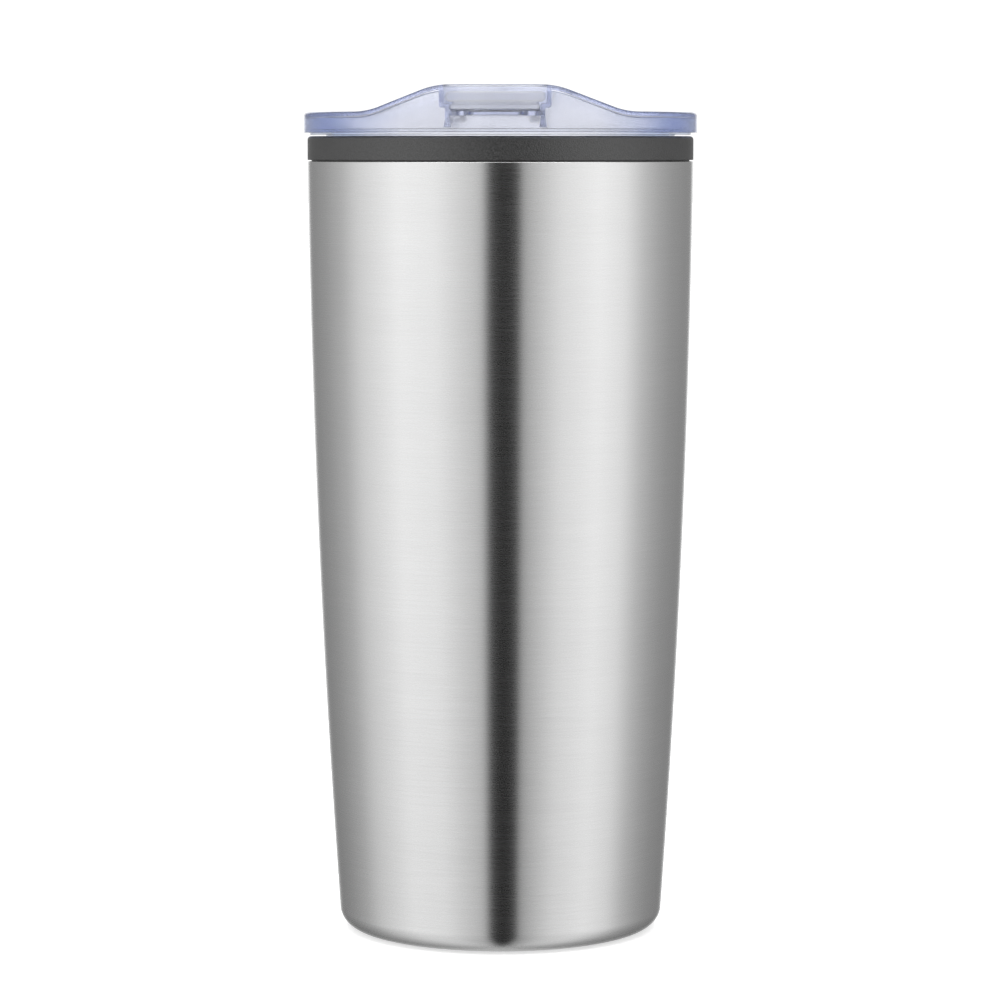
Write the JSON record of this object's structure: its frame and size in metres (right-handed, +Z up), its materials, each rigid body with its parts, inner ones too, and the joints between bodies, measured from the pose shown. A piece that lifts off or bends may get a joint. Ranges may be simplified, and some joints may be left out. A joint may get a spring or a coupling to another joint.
{
  "type": "insulated tumbler",
  "caption": "Tapered brushed-steel tumbler with a dark plastic liner and collar, and a clear press-in lid with a raised bridge and a thumb slide over the drinking hole.",
  "frame": {"origin": "centre of the flat ring that the tumbler stands on", "axes": "+Z up along the tumbler's axis; -Y is the drinking side; the slider opens towards +Y"},
  "size_m": [0.09, 0.09, 0.194],
  "materials": {
    "brushed_steel": "satin, brushed round the body",
    "base_steel": "satin, spun in rings",
    "dark_plastic": "fine matte texture",
    "clear_plastic": "clear with a faint blue tint",
    "silicone": "soft translucent white"
  },
  "bodies": {
    "cup": {"outer_shell": "brushed_steel", "base_plate": "base_steel", "liner": "dark_plastic", "liner_seal": "silicone"},
    "lid": {"lid_cover": "clear_plastic", "lid_plug": "clear_plastic", "lid_gasket": "silicone"},
    "thumb_slide": {"slider": "clear_plastic"}
  },
  "joints": [
    {"name": "lid_lift", "type": "slide", "parent": "cup", "child": "lid", "axis": [0, 0, 1], "range_m": [0, 0.05]},
    {"name": "slider_open", "type": "slide", "parent": "lid", "child": "thumb_slide", "axis": [0, 1, 0], "range_m": [0, 0.019]}
  ]
}
